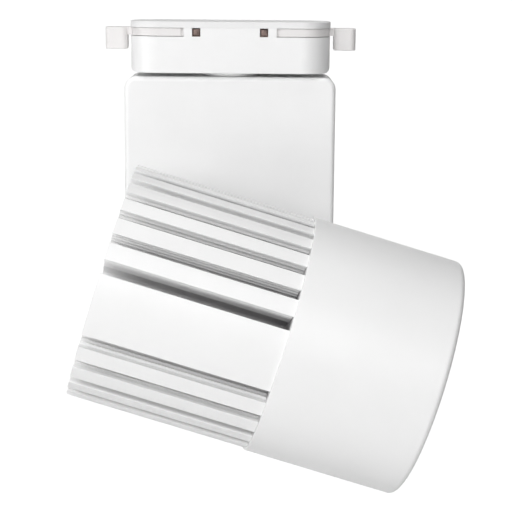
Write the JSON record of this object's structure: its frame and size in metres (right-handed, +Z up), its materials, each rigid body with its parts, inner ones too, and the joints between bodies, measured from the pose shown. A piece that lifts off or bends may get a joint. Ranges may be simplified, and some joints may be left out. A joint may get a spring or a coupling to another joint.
{
  "type": "track spotlight",
  "caption": "White track spotlight: clip-in track adapter, swivelling flat driver box and a finned round lamp head that tilts beside it.",
  "frame": {"origin": "centre of the adapter's flat top face, where it sits against the track", "axes": "+Z up and out of the top face, X along the track, -Y towards the side that carries the lamp head"},
  "size_m": [0.1562, 0.1301, 0.185],
  "materials": {
    "white_plastic": "satin white moulded plastic",
    "plate_plastic": "satin white moulded plastic",
    "latch_plastic": "off-white moulded plastic",
    "collar_plastic": "satin white moulded plastic",
    "copper": "bare copper alloy strip",
    "zinc_steel": "bright zinc plated",
    "spring_steel": "bare spring steel",
    "box_plastic": "satin white",
    "board_laminate": "green glass-epoxy laminate",
    "component_black": "black sleeve and tape",
    "terminal_plastic": "natural nylon",
    "sink_paint": "white powder coat on aluminium",
    "spacer_aluminium": "turned aluminium",
    "cover_paint": "white powder coat on aluminium",
    "led_substrate": "bare aluminium core board",
    "phosphor": "yellow silicone phosphor",
    "holder_plastic": "white heat-proof plastic",
    "reflector_metal": "anodised bright aluminium",
    "gasket_rubber": "grey silicone",
    "lens_glass": "clear tempered glass"
  },
  "bodies": {
    "adapter": {"adapter_housing": "white_plastic", "adapter_top_plate": "plate_plastic", "top_plate_screw_left": "zinc_steel", "top_plate_screw_right": "zinc_steel", "contact_live": "copper", "contact_neutral": "copper", "swivel_collar": "collar_plastic", "swivel_stem": "zinc_steel", "stem_upper_nut": "zinc_steel", "stem_washer": "zinc_steel", "stem_lower_nut": "zinc_steel", "latch_spring_left": "spring_steel", "latch_spring_right": "spring_steel"},
    "latch_left": {"latch_left": "latch_plastic"},
    "latch_right": {"latch_right": "latch_plastic"},
    "driver_box": {"driver_shell": "box_plastic", "driver_rear_cover": "box_plastic", "rear_cover_screw_1": "zinc_steel", "rear_cover_screw_2": "zinc_steel", "rear_cover_screw_3": "zinc_steel", "rear_cover_screw_4": "zinc_steel", "driver_board": "board_laminate", "transformer": "component_black", "line_choke": "component_black", "input_capacitor": "component_black", "output_capacitor": "component_black", "output_terminal": "terminal_plastic", "tilt_friction_washer": "terminal_plastic"},
    "lamp_head": {"tilt_spacer": "spacer_aluminium", "tilt_bolt": "zinc_steel", "tilt_spring_washer": "zinc_steel", "tilt_nut": "zinc_steel", "heat_sink": "sink_paint", "led_board": "led_substrate", "led_emitter": "phosphor", "led_holder": "holder_plastic", "led_holder_screw_1": "zinc_steel", "led_holder_screw_2": "zinc_steel", "reflector": "reflector_metal", "lens_gasket": "gasket_rubber", "lens_glass": "lens_glass", "front_cover": "cover_paint"}
  },
  "joints": [
    {"name": "swivel", "type": "hinge", "parent": "adapter", "child": "driver_box", "pos_m": [0, 0, -0.023], "axis": [0, 0, 1], "range_deg": [-175, 175]},
    {"name": "tilt", "type": "hinge", "parent": "driver_box", "child": "lamp_head", "pos_m": [0, -0.015, -0.115], "axis": [0, 1, 0], "range_deg": [-16.9, 163.1]},
    {"name": "latch_left_slide", "type": "slide", "parent": "adapter", "child": "latch_left", "axis": [1, 0, 0], "range_m": [0, 0.001], "stiffness_N_per_m": 800, "springref_m": -0.002, "deforming": ["latch_spring_left"]},
    {"name": "latch_right_slide", "type": "slide", "parent": "adapter", "child": "latch_right", "axis": [-1, 0, 0], "range_m": [0, 0.001], "stiffness_N_per_m": 800, "springref_m": -0.002, "deforming": ["latch_spring_right"]}
  ]
}
